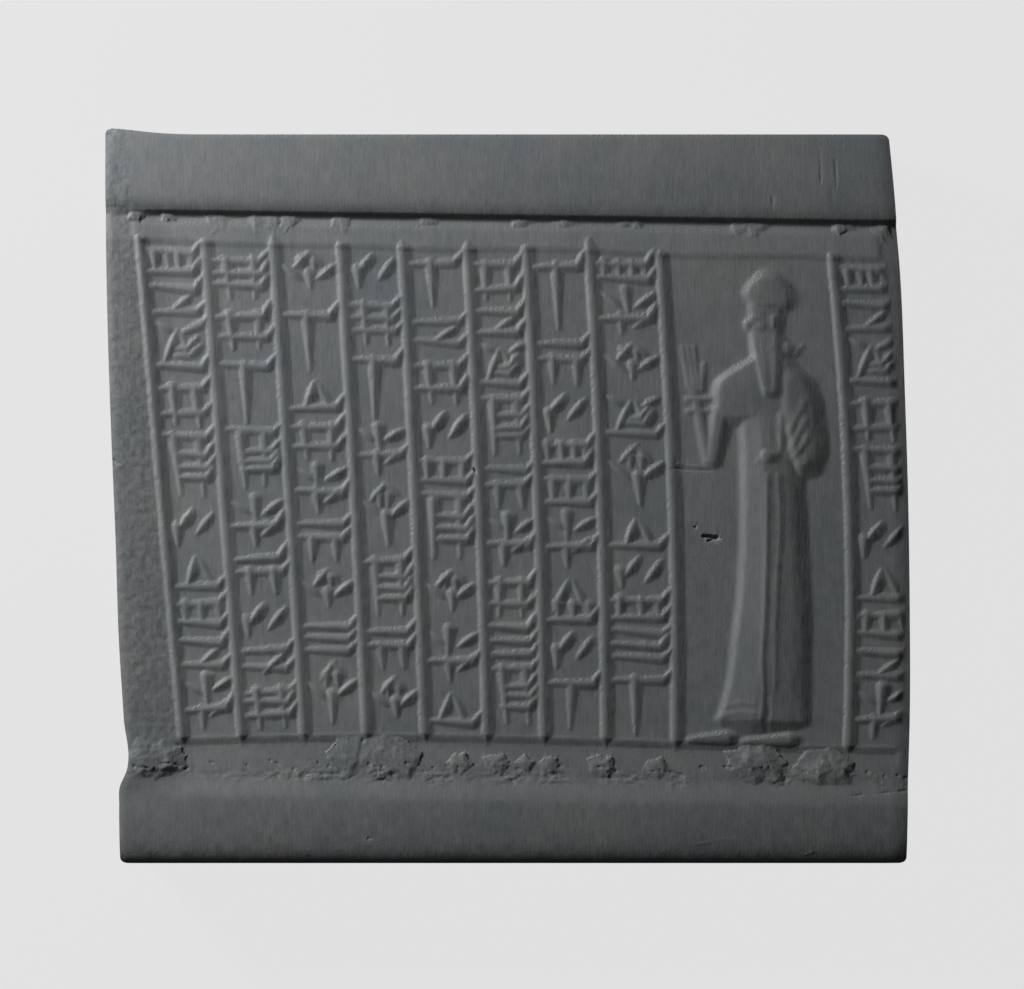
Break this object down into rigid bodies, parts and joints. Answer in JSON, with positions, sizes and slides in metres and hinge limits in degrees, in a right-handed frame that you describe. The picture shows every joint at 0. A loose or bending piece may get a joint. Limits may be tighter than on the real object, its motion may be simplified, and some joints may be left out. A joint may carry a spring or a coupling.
{
  "type": "cylinder seal impression",
  "caption": "Flat strip of dark modelling compound with the rolled-out relief of a cylinder seal: ruled columns of strokes and a robed standing figure between raised margins.",
  "frame": {"origin": "middle of the strip's bounding box in X and Y, on the flat underside that rests on the table", "axes": "+X along the roll, towards the end where the pattern starts again; +Y up the figure, towards its head; +Z out of the relief"},
  "size_m": [0.0522, 0.0476, 0.0064],
  "materials": {
    "modelling_compound": "smooth, slightly waxy dark grey modelling compound with a fine grain"
  },
  "bodies": {
    "root": {"seal_impression": "modelling_compound"}
  },
  "joints": []
}
